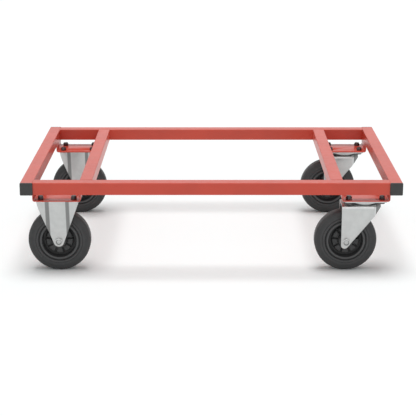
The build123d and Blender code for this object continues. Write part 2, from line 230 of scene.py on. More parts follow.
class PressedSizes(bpy.types.PropertyGroup):
    """Edges of the caps and pressings."""

    cap_corner: a_length("Cap corner", "Corner radius of a cap", 0.003)
    cap_round: a_length("Cap rounding", "Rounding of a cap's face", 0.0014)
    plug_inset: a_length("Plug inset", "Plug inside the cap's outline", 0.00315)
    plug_wall: a_length("Plug wall", "Wall of the hollow plug", 0.002)
    edge_round: a_length("Edge rounding", "Rounding of sheared sheet edges", 0.0004)
    # Step place, width and shade set a strip of painted shade on each bracket's upright step.
    step_place: a_length("Step place", "Upright step of a bracket from its centre", 0.032)
    step_width: a_length("Step width", "Width of that step", 0.012)
    step_shade: a_shade("Step shade", "Brightness against the zinc", 0.42)
    # Wing place, width and shade set a strip of painted shade on each fork's bent-in wing.
    wing_place: a_length("Wing place", "Bent-in wing of a fork from its kingpin", 0.0455)
    wing_width: a_length("Wing width", "Width of that wing", 0.023)
    wing_shade: a_shade("Wing shade", "Brightness against the zinc", 0.36)
    # Bend width and shade set a painted highlight along the bend beside the wing.
    bend_width: a_length("Bend width", "Burnished bend beside the wing", 0.003)
    bend_shade: a_shade("Bend shade", "Brightness against the zinc", 1.3)
    ball_radius: a_length("Ball radius", "Balls in the swivel heads", 0.0021)
    ball_count: a_count("Balls", "Balls in a swivel head", 24, min=6, max=60)


class StageSettings(bpy.types.PropertyGroup):
    """Camera, lamps and floor."""

    camera: a_place("Camera", "Where the camera stands", (-0.0017, -4.2496, 1.3433))
    pitch: an_angle("Pitch", "Camera's downward tilt", radians(16.22))
    lens: a_number("Lens", "Focal length in millimetres", 110.32, min=10)
    shift: a_number("Shift", "Sideways shift of the picture", -0.0068)
    top_strength: a_shade("Top light", "Strength of the overhead light", 1.9)
    top_spread: an_angle("Top spread", "Width of the overhead light in the sky", radians(32))
    front_strength: a_shade("Front light", "Strength of the broad front light", 0.42)
    front_spread: an_angle("Front spread", "Width of the front light in the sky", radians(50))
    front_height: an_angle("Front height", "Front light above the floor", radians(18))
    sky: a_shade("Sky", "Brightness of the room on the object", 0.45)


def deselect():
    """Leave nothing selected."""
    bpy.ops.object.select_all(action="DESELECT")


def select_only(obj):
    """Leave one object selected and active."""
    deselect()
    obj.select_set(True)
    bpy.context.view_layer.objects.active = obj


def begin(obj):
    """Start to edit an object's mesh."""
    select_only(obj)
    bpy.ops.object.mode_set(mode="EDIT")


def end():
    """Finish editing."""
    bpy.ops.object.mode_set(mode="OBJECT")


def pick(obj, kind, test):
    """Select, in edit mode, the faces or edges that pass a test of place or normal."""
    bpy.ops.mesh.select_all(action="DESELECT")
    bpy.ops.mesh.select_mode(type=kind)
    mesh = bmesh.from_edit_mesh(obj.data)
    items = mesh.faces if kind == "FACE" else mesh.edges
    found = [item for item in items if test(item)]
    if not found:
        raise RuntimeError(f"nothing to select on {obj.name}")
    for item in found:
        item.select_set(True)
    mesh.select_flush_mode()
    bmesh.update_edit_mesh(obj.data)


def looks(axis, both_ways=False):
    """A test for faces that look along an axis, or along it either way."""
    index = "XYZ".index(axis)

    def test(face):
        along = face.normal[index]
        return (abs(along) if both_ways else along) > FACING

    return test


def named(obj, name):
    """Give an object and its mesh one name."""
    obj.name = name
    obj.data.name = name
    return obj


def link(obj):
    """Bring a new object into the scene."""
    bpy.context.collection.objects.link(obj)


def apply_place(obj):
    """Put the object's place into its mesh."""
    select_only(obj)
    bpy.ops.object.transform_apply()


def add_cylinder(name, radius, depth, place, sides, along="Z"):
    """A capped cylinder along Y or Z, with its place in its mesh."""
    deselect()
    turn = (pi / 2, 0, 0) if along == "Y" else (0, 0, 0)
    bpy.ops.mesh.primitive_cylinder_add(
        vertices=sides, radius=radius, depth=depth, location=place, rotation=turn)
    obj = named(bpy.context.active_object, name)
    apply_place(obj)
    return obj


def add_box(name, size, place):
    """A box with its place in its mesh."""
    deselect()
    bpy.ops.mesh.primitive_cube_add(size=1, location=place)
    obj = named(bpy.context.active_object, name)
    obj.scale = size
    apply_place(obj)
    return obj


def combine(obj, tool, operation):
    """Cut or join obj with a tool, which is used up."""
    select_only(obj)
    modifier = obj.modifiers.new("shape", "BOOLEAN")
    modifier.operation = operation
    modifier.object = tool
    modifier.solver = "EXACT"
    bpy.ops.object.modifier_apply(modifier=modifier.name)
    bpy.data.objects.remove(tool)


def smooth(obj, angle=32):
    """Smooth shading that keeps edges sharp from an angle in degrees."""
    select_only(obj)
    bpy.ops.object.shade_smooth_by_angle(angle=radians(angle))


def tidy(obj):
    """Merge doubles and turn all faces outwards."""
    begin(obj)
    bpy.ops.mesh.select_all(action="SELECT")
    bpy.ops.mesh.remove_doubles(threshold=MERGE)
    bpy.ops.mesh.normals_make_consistent()
    end()


def copy_to(obj, name, matrix):
    """A copy with its own mesh, moved in its mesh."""
    twin = obj.copy()
    twin.data = obj.data.copy()
    named(twin, name)
    link(twin)
    twin.data.transform(matrix)
    return twin


def join(name, objects):
    """Several objects as one."""
    deselect()
    for obj in objects:
        obj.select_set(True)
    bpy.context.view_layer.objects.active = objects[0]
    bpy.ops.object.join()
    return named(objects[0], name)


def dress(obj, material, body, slot, *nodes):
    """Give a new piece its finish and its body, and hide the CAD nodes that it stands for."""
    obj.data.materials.clear()
    obj.data.materials.append(material)
    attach(obj, body)
    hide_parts(*nodes)


def paint(material, *nodes):
    """Give CAD nodes a finish."""
    for node in nodes:
        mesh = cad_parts[node].data
        mesh.materials.clear()
        mesh.materials.append(material)


def copy_of_node(node, name):
    """A copy of a CAD node without double points, left in edit mode."""
    piece = named(bpy.data.objects.new(name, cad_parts[node].data.copy()), name)
    link(piece)
    begin(piece)
    bpy.ops.mesh.select_all(action="SELECT")
    bpy.ops.mesh.remove_doubles(threshold=MERGE)
    return piece


def softened(node, name, width):
    """A copy of a CAD node with its sheared edges rounded."""
    piece = copy_of_node(node, name)
    bpy.ops.mesh.customdata_custom_splitnormals_clear()
    bpy.ops.mesh.dissolve_limited(angle_limit=FLAT)
    end()
    bevel = piece.modifiers.new("edges", "BEVEL")
    bevel.width = width
    bevel.segments = 2
    bevel.limit_method = "ANGLE"
    bevel.angle_limit = SHEARED
    bevel.loop_slide = False
    bevel.use_clamp_overlap = False
    select_only(piece)
    bpy.ops.object.modifier_apply(modifier=bevel.name)
    smooth(piece)
    return piece


def tinted(colour, factor):
    """A darker or lighter tint of a colour."""
    return tuple(min(1.0, channel * factor) for channel in colour)


def add_node(tree, kind, sockets, **settings):
    """A shader node with its settings made and its sockets set or linked."""
    node = tree.nodes.new(f"ShaderNode{kind}")
    for option, value in settings.items():
        setattr(node, option, value)
    for socket, value in sockets.items():
        if isinstance(value, bpy.types.NodeSocket):
            tree.links.new(value, node.inputs[socket])
        else:
            node.inputs[socket].default_value = value
    return node


class Finish:
    """A node material built up socket by socket."""

    def __init__(self, name, metallic=0.0, specular=0.5):
        self.material = bpy.data.materials.new(name)
        self.material.use_nodes = True
        self.tree = self.material.node_tree
        self.inputs = self.tree.nodes["Principled BSDF"].inputs
        self.inputs["Metallic"].default_value = metallic
        self.inputs["Specular IOR Level"].default_value = specular
        self.place = self.add("TexCoord", {}).outputs["Object"]

    def add(self, kind, sockets, **settings):
        """A new node of this material."""
        return add_node(self.tree, kind, sockets, **settings)

    def feed(self, socket, source):
        """Link a pattern to one of the shader's sockets."""
        self.tree.links.new(source, self.inputs[socket])

    def noise(self, scale, detail, stretch=None):
        """Noise on Object coordinates; scale is in features a metre."""
        where = self.place
        if stretch:
            where = self.add("Mapping", {"Vector": where, "Scale": stretch}).outputs["Vector"]
        sockets = {"Vector": where, "Scale": scale, "Detail": detail}
        return self.add("TexNoise", sockets).outputs["Fac"]

    def spread(self, source, low, high, limits=NOISE_RANGE):
        """Map what lies between two limits to low and high."""
        sockets = {
            "Value": source, "From Min": limits[0], "From Max": limits[1], "To Min": low,
            "To Max": high,
        }
        return self.add("MapRange", sockets).outputs["Result"]

    def maths(self, operation, *values):
        """A sum on sockets or numbers."""
        sockets = dict(enumerate(values))
        return self.add("Math", sockets, operation=operation).outputs["Value"]

    def mottle(self, colour, scale, detail, low, high):
        """Colour the surface in patches between two tints of a colour."""
        ramp = self.add("ValToRGB", {"Fac": self.noise(scale, detail)})
        for index, tint in enumerate((low, high)):
            element = ramp.color_ramp.elements[index]
            element.position = MOTTLE_RANGE[index]
            element.color = (*tinted(colour, tint), 1)
        self.feed("Base Color", ramp.outputs["Color"])

    def rough(self, scale, detail, low, high):
        """Let the roughness wander between two values."""
        self.feed("Roughness", self.spread(self.noise(scale, detail), low, high))

    def bump(self, source, strength, distance):
        """Raise the surface along a pattern, on top of any bumps before it."""
        sockets = {"Height": source, "Strength": strength, "Distance": distance}
        for before in self.inputs["Normal"].links:
            sockets["Normal"] = before.from_socket
        self.feed("Normal", self.add("Bump", sockets).outputs["Normal"])

    def from_axle(self, centre):
        """Place in the plane of a wheel, from an axle along Y through centre."""
        away = (-centre[0], 0, -centre[2])
        sockets = {"Vector": self.place, "Location": away, "Scale": (1, 0, 1)}
        return self.add("Mapping", sockets).outputs["Vector"]

    def radius(self, centre):
        """Distance from an axle along Y through centre."""
        out = {0: self.from_axle(centre)}
        return self.add("VectorMath", out, operation="LENGTH").outputs["Value"]

    def rings(self, centre, spacing):
        """Rings round an axle along Y through centre."""
        sockets = {"Vector": self.from_axle(centre), "Scale": WAVE_LENGTH / spacing}
        wave = self.add("TexWave", sockets, wave_type="RINGS", rings_direction="SPHERICAL")
        return wave.outputs["Fac"]

    def strips(self, value, colour, *strips):
        """Tint a colour in soft-edged strips of a value, each with its place, width and tint."""
        for place, width, tint in strips:
            away = self.maths("ABSOLUTE", self.maths("SUBTRACT", value, place))
            sockets = {
                "Factor": self.spread(away, 1.0, 0.0, [part * width for part in STRIP_EDGE]),
                "A": self.inputs["Base Color"].links[0].from_socket,
                "B": (*tinted(colour, tint), 1),
            }
            mix = self.add("Mix", sockets, data_type="RGBA")
            self.feed("Base Color", mix.outputs["Result"])


def band(outer, inner, tint):
    """A strip between two radii."""
    return (outer + inner) / 2, outer - inner, tint


def red_coat():
    """Satin powder coat with a fine orange peel."""
    finish = Finish("red_powder_coat")
    finish.mottle(colours().red, scale=9, detail=4, low=0.95, high=1.05)
    finish.rough(scale=60, detail=3, low=0.28, high=0.34)
    finish.bump(finish.noise(scale=650, detail=2), strength=0.1, distance=0.0002)
    return finish.material


def zinc_finish(name, shade=1.0):
    """Bright zinc on pressed sheet: soft mottling and faint drawing marks."""
    colour = tinted(colours().zinc, shade)
    finish = Finish(name, metallic=0.9)
    finish.mottle(colour, scale=55, detail=5, low=0.96, high=1.035)
    finish.rough(scale=120, detail=4, low=0.28, high=0.34)
    marks = finish.noise(scale=260, detail=3, stretch=(1, 1, 0.12))
    finish.bump(marks, strength=0.05, distance=0.0002)
    return finish


def zinc_with_painted_strips(name, centre, strips, both_sides):
    """Zinc with upright strips of painted shade and painted highlight along the steps, wings and
    bends of the pressing.
    """
    finish = zinc_finish(name)
    split = finish.add("SeparateXYZ", {"Vector": finish.place})
    out = finish.maths("SUBTRACT", split.outputs["X"], centre)
    if both_sides:
        out = finish.maths("ABSOLUTE", out)
    # the strips are painted shade and painted highlight on the zinc
    finish.strips(out, colours().zinc, *strips)
    return finish.material


def axle_zinc(name, centre):
    """Zinc of an axle bolt, with a painted shadow line round the dish in its head."""
    sizes = bpy.context.scene.dolly_fasteners
    finish = zinc_finish(name, AXLE_SHADE)
    # painted shadow line round the dish
    line = (sizes.dish_radius - sizes.dish_line / 2, sizes.dish_line, sizes.dish_shade)
    finish.strips(finish.radius(centre), colours().zinc, line)
    return finish.material


def black_rubber(name, centre):
    """Dull tyre rubber with the mould's fine turning rings; painted highlight on the ring, painted
    shade in the groove and on the flank.
    """
    colour = colours().rubber
    sizes = bpy.context.scene.dolly_wheels
    finish = Finish(name, specular=0.4)
    finish.mottle(colour, scale=24, detail=5, low=0.9, high=1.1)
    # painted highlight on the raised ring, painted shade in the groove's bottom and in a band on
    # the flank
    finish.strips(
        finish.radius(centre), colour,
        band(sizes.ring_outer, sizes.ring_inner, sizes.ring_shade),
        (sizes.groove_place, sizes.groove_width, sizes.groove_shade),
        (sizes.hollow_place, sizes.hollow_width, sizes.hollow_shade))
    finish.rough(scale=90, detail=4, low=0.5, high=0.68)
    finish.bump(finish.rings(centre, spacing=0.0022), strength=0.12, distance=0.0002)
    finish.bump(finish.noise(scale=1400, detail=2), strength=0.18, distance=0.00015)
    return finish.material


def moulded_finish(name, colour, roughness):
    """Moulded plastic with a fine sparked grain."""
    finish = Finish(name, specular=0.3)
    finish.mottle(colour, scale=30, detail=4, low=0.9, high=1.1)
    finish.rough(scale=150, detail=3, low=roughness - 0.06, high=roughness + 0.08)
    finish.bump(finish.noise(scale=1800, detail=2), strength=0.15, distance=0.00012)
    return finish


def wheel_moulding(name, centre):
    """The plastic of a wheel centre, with a painted highlight along its lip and painted shade in
    its channel.
    """
    colour = colours().moulding
    sizes = bpy.context.scene.dolly_wheels
    finish = moulded_finish(name, colour, roughness=0.6)
    # painted highlight on the lip, painted shade in the channel
    finish.strips(
        finish.radius(centre), colour,
        band(sizes.lip_outer, sizes.lip_inner, sizes.lip_shade),
        band(sizes.lip_inner, sizes.pad_outer, sizes.channel_shade))
    return finish.material


def black_steel():
    """Blackened steel, a little worn to grey."""
    finish = Finish("blackened_steel", specular=0.9)
    finish.mottle(colours().black_steel, scale=220, detail=4, low=0.75, high=1.5)
    finish.rough(scale=400, detail=3, low=0.28, high=0.36)
    finish.bump(finish.noise(scale=1500, detail=2), strength=0.1, distance=0.0001)
    return finish.material


def bearing_steel():
    """Plain ground steel under a film of grease."""
    finish = Finish("bearing_steel", metallic=1.0)
    finish.mottle(colours().bearing, scale=180, detail=3, low=0.85, high=1.05)
    finish.rough(scale=300, detail=3, low=0.28, high=0.36)
    return finish.material


class DOLLY_OT_frame(bpy.types.Operator):
    """Give the tubes, rails and carriers their red coat"""

    bl_idname = "dolly.frame"
    bl_label = "Frame"

    def execute(self, context):
        tubes = [f"{kind}_{side}" for kind in ("end_tube", "cross_tube") for side in ENDS]
        rails = [f"{row}_rail" for row in ROWS]
        material = red_coat()
        paint(material, *tubes, *rails)
        width = context.scene.dolly_pressed.edge_round
        for corner in CORNERS:
            piece = softened(f"carrier_{corner}", f"folded_carrier_{corner}", width)
            dress(piece, material, "frame", "frame_paint", f"carrier_{corner}")
        return {"FINISHED"}


class DOLLY_OT_caps(bpy.types.Operator):
    """Model the plug caps in the ends of the end tubes"""

    bl_idname = "dolly.caps"
    bl_label = "End caps"

    def execute(self, context):
        material = moulded_finish("cap_plastic", colours().cap, roughness=0.5).material
        low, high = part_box(f"end_cap_{CORNERS[0]}")
        tube_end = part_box("end_tube_left")[0].y
        head = tube_end - low.y
        width = high.x - low.x
        centre = Vector(((low.x + high.x) / 2, low.y + head / 2, (low.z + high.z) / 2))
        cap = add_box("cap", (width, head, width), centre)
        self.shape(cap, low.y, head, high.y - tube_end, context.scene.dolly_pressed)
        for corner in CORNERS:
            flip = 1 if corner.startswith("front") else -1
            shift = middle(f"end_cap_{corner}").x - centre.x
            place = Matrix.Translation((shift, 0, 0)) @ Matrix.Scale(flip, 4, (0, 1, 0))
            piece = copy_to(cap, f"cap_{corner}", place)
            tidy(piece)
            smooth(piece)
            dress(piece, material, "frame", "cap_plastic", f"end_cap_{corner}")
        bpy.data.objects.remove(cap)
        return {"FINISHED"}

    def shape(self, cap, front, head, plug, sizes):
        """Draw the hollow plug out of a cap's back and round its head."""

        def upright(edge):
            return abs(abs((edge.verts[0].co - edge.verts[1].co).y) - head) < TOUCH

        begin(cap)
        pick(cap, "FACE", looks("Y"))
        for inwards, up in ((sizes.plug_inset, 0), (0, plug), (sizes.plug_wall, 0), (0, -plug)):
            bpy.ops.mesh.inset(thickness=inwards, depth=up)
        pick(cap, "EDGE", upright)
        bpy.ops.mesh.bevel(offset=sizes.cap_corner, segments=5)
        pick(cap, "EDGE", lambda edge: all(vert.co.y < front + TOUCH for vert in edge.verts))
        bpy.ops.mesh.bevel(offset=sizes.cap_round, segments=4)
        end()


def turned(name, centre, profile, sides):
    """A wheel's piece on an axle along Y, stepped in through radius and half-width pairs."""
    radius, half = profile[0]
    obj = add_cylinder(name, radius, 2 * half, centre, sides, "Y")
    begin(obj)
    pick(obj, "FACE", looks("Y", both_ways=True))
    for next_radius, next_half in profile[1:]:
        bpy.ops.mesh.inset(thickness=radius - next_radius, depth=next_half - half)
        radius, half = next_radius, next_half
    bpy.ops.mesh.delete(type="ONLY_FACE")
    pick(obj, "EDGE", lambda edge: edge.is_boundary)
    bpy.ops.mesh.bridge_edge_loops()
    end()
    return obj


def round_rims(obj, centre, rims, width, segments):
    """Bevel circles about the axle, given as radius and half-width pairs."""

    def on_rim(vert):
        out = vert.co - centre
        return any(abs(hypot(out.x, out.z) - radius) < NEAR and abs(abs(out.y) - half) < NEAR
                   for radius, half in rims)

    begin(obj)
    pick(obj, "EDGE", lambda edge: all(on_rim(vert) for vert in edge.verts))
    bpy.ops.mesh.bevel(offset=width, segments=segments)
    end()


def fit_to_wheels(master, centre, name, node, slot, finish):
    """Copy a wheel's piece to all four wheels and dress the copies."""
    for corner in CORNERS:
        axle = middle(f"{node}_{corner}")
        piece = copy_to(master, f"{name}_{corner}", Matrix.Translation(axle - centre))
        material = finish(f"{slot}_{corner}", axle)
        dress(piece, material, f"wheel_{corner}", slot, f"{node}_{corner}")
    bpy.data.objects.remove(master)


class DOLLY_OT_tyres(bpy.types.Operator):
    """Model the rubber tyres"""

    bl_idname = "dolly.tyres"
    bl_label = "Tyres"

    def execute(self, context):
        sizes = context.scene.dolly_wheels
        node = f"tyre_{CORNERS[0]}"
        centre = middle(node)
        tread, side = half(node, "x"), half(node, "y")
        drum = half(f"wheel_centre_{CORNERS[0]}", "x") + sizes.tyre_gap
        shoulder = (tread, sizes.tread_half)
        flank = (sizes.flank_inner, side - sizes.flank_step)
        ring = [(sizes.ring_outer, side), (sizes.ring_inner, side)]
        groove = (sizes.groove_place, side - sizes.groove_depth)
        profile = [shoulder, flank, groove, *ring, (drum, side - sizes.drum_inset)]
        tyre = turned("tyre", centre, profile, sizes.sides)
        round_rims(tyre, centre, [shoulder], sizes.shoulder, segments=8)
        self.press_in(tyre, centre, tread)
        round_rims(tyre, centre, [flank, *ring], sizes.ring_round, segments=2)
        tidy(tyre)
        smooth(tyre, angle=40)
        fit_to_wheels(tyre, centre, "rubber_tyre", "tyre", "tyre_rubber", black_rubber)
        return {"FINISHED"}

    def press_in(self, tyre, centre, tread):
        """Press the rings that rounding leaves proud of the tread back, widest first."""

        def out(vert):
            return hypot(vert.co.x - centre.x, vert.co.z - centre.z)

        begin(tyre)
        proud = max(map(out, bmesh.from_edit_mesh(tyre.data).verts))
        while proud > tread + MERGE:
            pick(tyre, "EDGE", lambda edge: all(out(vert) > proud - TOUCH for vert in edge.verts))
            bpy.ops.transform.resize(value=(tread / proud, 1, tread / proud))
            proud = max(map(out, bmesh.from_edit_mesh(tyre.data).verts))
        end()


class DOLLY_OT_wheel_centres(bpy.types.Operator):
    """Model the slotted wheel centres"""

    bl_idname = "dolly.wheel_centres"
    bl_label = "Wheel centres"

    def execute(self, context):
        sizes = context.scene.dolly_wheels
        node = f"wheel_centre_{CORNERS[0]}"
        centre = middle(node)
        drum, hub_end = half(node, "x"), half(node, "y")
        seat = half(f"tyre_{CORNERS[0]}", "y") - sizes.drum_inset
        rise = seat + sizes.lip_rise
        lip = [(sizes.lip_outer, rise), (sizes.lip_inner, rise)]
        profile = [
            (drum, seat), *lip,
            (sizes.channel_outer, sizes.channel_half), (sizes.channel_inner, sizes.channel_half),
            (sizes.pad_outer, sizes.pad_half), (sizes.pad_inner, sizes.pad_half),
            (sizes.pad_inner, sizes.moat_half), (sizes.hub_radius, sizes.moat_half),
            (sizes.hub_radius, hub_end), (sizes.hub_bore, hub_end),
        ]
        wheel = turned("wheel_centre", centre, profile, sizes.sides)
        round_rims(wheel, centre, lip, sizes.lip_round, segments=3)
        round_rims(wheel, centre, [(sizes.hub_radius, hub_end)], sizes.hub_round, segments=2)
        tidy(wheel)
        combine(wheel, self.slots(sizes, centre), "DIFFERENCE")
        tidy(wheel)
        self.round_pads(wheel, centre, sizes)
        tidy(wheel)
        smooth(wheel, angle=30)
        fit_to_wheels(
            wheel, centre, "slotted_centre", "wheel_centre", "wheel_plastic", wheel_moulding)
        return {"FINISHED"}

    def round_pads(self, wheel, centre, sizes):
        """Make each pad's face one flat and round its edges."""
        sideways = looks("Y", both_ways=True)

        def pad(face):
            level = abs(face.calc_center_median().y - centre.y)
            return sideways(face) and abs(level - sizes.pad_half) < NEAR

        begin(wheel)
        pick(wheel, "FACE", pad)
        bpy.ops.mesh.dissolve_limited(angle_limit=FLAT)
        pick(wheel, "FACE", pad)
        bpy.ops.mesh.region_to_loop()
        bpy.ops.mesh.bevel(offset=sizes.pad_round, segments=2)
        end()

    def slots(self, sizes, centre):
        """Tapered bars that cut the slots on both sides of the web."""
        start = (sizes.hub_radius + sizes.pad_inner) / 2
        length = (sizes.channel_inner + sizes.channel_outer) / 2 - start
        deep = sizes.pad_half + OVERLAP - sizes.moat_half
        slope = sizes.slot_draft / (sizes.pad_half - sizes.moat_half)
        wide = sizes.slot_width + 2 * slope * OVERLAP
        place = centre + Vector((start + length / 2, -sizes.moat_half - deep / 2, 0))
        bar = add_box("bar", (length, deep, wide), place)
        begin(bar)
        pick(bar, "FACE", looks("Y"))
        bpy.ops.transform.resize(value=(1, 1, 1 - 2 * slope * deep / wide))
        end()
        bars = []
        for number in range(sizes.slot_count):
            turn = pi / 2 + 2 * pi * number / sizes.slot_count
            spin = Matrix.Rotation(-turn, 4, "Y")
            for side in (0, pi):
                spin_side = spin @ Matrix.Rotation(side, 4, "X")
                place = Matrix.Translation(centre) @ spin_side @ Matrix.Translation(-centre)
                bars.append(copy_to(bar, "slot_bar", place))
        bpy.data.objects.remove(bar)
        return join("slot_bars", bars)


def hex_block(name, flats, height, sizes, both_ends):
    """A hexagon standing on Z = 0, chamfered at the top or at both ends."""
    apothem = flats / 2
    corner = apothem / cos(pi / HEX_SIDES)
    block = add_cylinder(name, corner, height, (0, 0, height / 2), HEX_SIDES)
    high = height - sizes.chamfer
    low = sizes.chamfer if both_ends else -OVERLAP
    foot = apothem * sizes.chamfer_outer
    cone = add_cylinder("cone", foot, high - low, (0, 0, (high + low) / 2), CONE_SIDES)
    begin(cone)
    pick(cone, "FACE", looks("Z", both_ends))
    slope = apothem * (sizes.chamfer_outer - sizes.chamfer_inner)
    bpy.ops.mesh.inset(thickness=slope, depth=sizes.chamfer)
    end()
    combine(block, cone, "INTERSECT")
    return block


def threaded_end(obj, top, length, sizes):
    """Run a bolt's top face up in thread ridges to a chamfered end."""
    root = sizes.thread_root
    upwards = looks("Z")

    def top_face(face):
        return upwards(face) and abs(face.calc_center_median().z - top) < TOUCH

    begin(obj)
    pick(obj, "FACE", top_face)
    turns = max(1, int(length / sizes.thread_pitch))
    step = length / turns / 2
    for ridge in range(turns):
        bpy.ops.mesh.extrude_region_move(TRANSFORM_OT_translate={"value": (0, 0, step)})
        bpy.ops.transform.resize(value=(root, root, 1))
        bpy.ops.mesh.extrude_region_move(TRANSFORM_OT_translate={"value": (0, 0, step)})
        if ridge < turns - 1:
            bpy.ops.transform.resize(value=(1 / root, 1 / root, 1))
    end()


def hex_bolt(flats, head, shank, grip, tip, sizes):
    """A bolt up along Z: head below Z = 0, shank to grip and a threaded end."""
    bolt = hex_block("bolt", flats, head, sizes, both_ends=False)
    bolt.data.transform(Matrix.Rotation(pi, 4, "X"))
    rod = add_cylinder("rod", shank, grip + OVERLAP, (0, 0, (grip - OVERLAP) / 2), ROD_SIDES)
    threaded_end(rod, grip, tip, sizes)
    combine(bolt, rod, "UNION")
    tidy(bolt)
    return bolt


def sink(bolt, radius, depth, level, taper):
    """Sink a tapered dish upwards from a level into a bolt's head."""
    tool = add_cylinder("dish", radius, 2 * depth, (0, 0, level), ROD_SIDES)
    begin(tool)
    pick(tool, "FACE", looks("Z"))
    bpy.ops.transform.resize(value=(taper, taper, 1))
    end()
    combine(bolt, tool, "DIFFERENCE")


def collar_tool(height, sizes):
    """The round collar of a lock nut, up from within the nut."""
    top = height + sizes.collar_height
    place = (0, 0, height / 2 + sizes.collar_height)
    collar = add_cylinder("collar", sizes.collar_radius, height, place, CONE_SIDES)
    begin(collar)
    pick(collar, "EDGE", lambda edge: all(abs(vert.co.z - top) < TOUCH for vert in edge.verts))
    bpy.ops.mesh.bevel(offset=sizes.collar_round, segments=3)
    end()
    return collar


def hex_nut(flats, height, shank, sizes, locking=False):
    """A nut for a shank, with its seat on Z = 0, plain or with a locking collar."""
    nut = hex_block("nut", flats, height, sizes, both_ends=True)
    if locking:
        combine(nut, collar_tool(height, sizes), "UNION")
    through = 4 * height  # long enough for the collar too
    hole = add_cylinder("hole", shank + sizes.nut_gap, through, (0, 0, 0), ROD_SIDES)
    combine(nut, hole, "DIFFERENCE")
    tidy(nut)
    smooth(nut, angle=25)
    return nut


def solids_of(node):
    """The boxes of a CAD node's separate solids, as pairs of corners."""
    copy_of_node(node, "solids")
    bpy.ops.mesh.separate(type="LOOSE")
    end()
    boxes = []
    for part in list(bpy.context.selected_objects):
        places = [vert.co for vert in part.data.vertices]
        boxes.append((Vector(map(min, *places)), Vector(map(max, *places))))
        bpy.data.objects.remove(part)
    return sorted(boxes, key=lambda box: (round(box[0].y, 4), round(box[0].x, 4)))


class DOLLY_OT_castor_fasteners(bpy.types.Operator):
    """Model the black bolts and nuts that hold the castors"""

    bl_idname = "dolly.castor_fasteners"
    bl_label = "Castor bolts and nuts"

    def execute(self, context):
        sizes = context.scene.dolly_fasteners
        material = black_steel()
        nuts = solids_of("castor_nuts")
        nut_top = nuts[0][1].z
        height = nut_top - nuts[0][0].z
        nut = hex_nut(sizes.castor_flats, height, sizes.castor_shank, sizes, locking=True)
        for number, (low, high) in enumerate(nuts):
            place = Vector(((low.x + high.x) / 2, (low.y + high.y) / 2, low.z))
            turn = Matrix.Rotation(radians(NUT_TURN * number % (360 // HEX_SIDES)), 4, "Z")
            piece = copy_to(nut, f"castor_nut_{number + 1}", Matrix.Translation(place) @ turn)
            dress(piece, material, "frame", "fastener_black", "castor_nuts")
        bpy.data.objects.remove(nut)
        kinds = {}
        for number, (low, high) in enumerate(solids_of("castor_bolts")):
            seat = low.z + sizes.castor_head
            key = round(seat, 5)
            if key not in kinds:
                kinds[key] = hex_bolt(
                    sizes.castor_flats, sizes.castor_head, sizes.castor_shank, nut_top - seat,
                    high.z - nut_top, sizes)
                smooth(kinds[key], angle=25)
            place = Vector(((low.x + high.x) / 2, (low.y + high.y) / 2, seat))
            piece = copy_to(kinds[key], f"castor_bolt_{number + 1}", Matrix.Translation(place))
            dress(piece, material, "frame", "fastener_black", "castor_bolts")
        for kind in kinds.values():
            bpy.data.objects.remove(kind)
        return {"FINISHED"}


class DOLLY_OT_axles(bpy.types.Operator):
    """Model the axle bolts and nuts"""

    bl_idname = "dolly.axles"
    bl_label = "Axle bolts and nuts"

    def execute(self, context):
        sizes = context.scene.dolly_fasteners
        plain = zinc_finish("axle_zinc", AXLE_SHADE).material
        sets = [("fixed_axle_bolts", "fixed_axle_nuts", "frame")]
        for row in ROWS:
            sets.append((f"swivel_axle_bolt_{row}", f"swivel_axle_nut_{row}", f"swivel_{row}"))
        for bolts, nuts, body in sets:
            for number, boxes in enumerate(zip(solids_of(bolts), solids_of(nuts))):
                (low, high), (nut_low, nut_high) = boxes
                tail = f"_{number + 1}" if number else ""
                seat = low.y + sizes.axle_head
                place = Vector(((low.x + high.x) / 2, seat, (low.z + high.z) / 2))
                bolt = self.dished_bolt(nut_high.y - seat, high.y - nut_high.y, sizes)
                # each bolt's own zinc, with its painted shadow line round the dish
                material = axle_zinc(f"zinc_{bolts}{tail}", place)
                self.lay(bolt, f"hex_{bolts}{tail}", place, material, body, bolts)
                place.y = nut_low.y
                height = nut_high.y - nut_low.y
                nut = hex_nut(sizes.axle_flats, height, sizes.axle_shank, sizes)
                self.lay(nut, f"hex_{nuts}{tail}", place, plain, body, nuts)
        return {"FINISHED"}

    def dished_bolt(self, grip, tip, sizes):
        """An axle bolt with a dish and a pit in its head."""
        head = sizes.axle_head
        bolt = hex_bolt(sizes.axle_flats, head, sizes.axle_shank, grip, tip, sizes)
        sink(bolt, sizes.dish_radius, sizes.dish_depth, -head, sizes.dish_taper)
        sink(bolt, sizes.pit_radius, sizes.pit_depth, -head, sizes.pit_taper)
        tidy(bolt)
        smooth(bolt, angle=25)
        return bolt

    def lay(self, master, name, place, material, body, node):
        """Lay a fastener along Y in its place and dress it."""
        turn = Matrix.Rotation(-pi / 2, 4, "X")
        piece = copy_to(master, name, Matrix.Translation(place) @ turn)
        dress(piece, material, body, "axle_zinc", node)
        bpy.data.objects.remove(master)


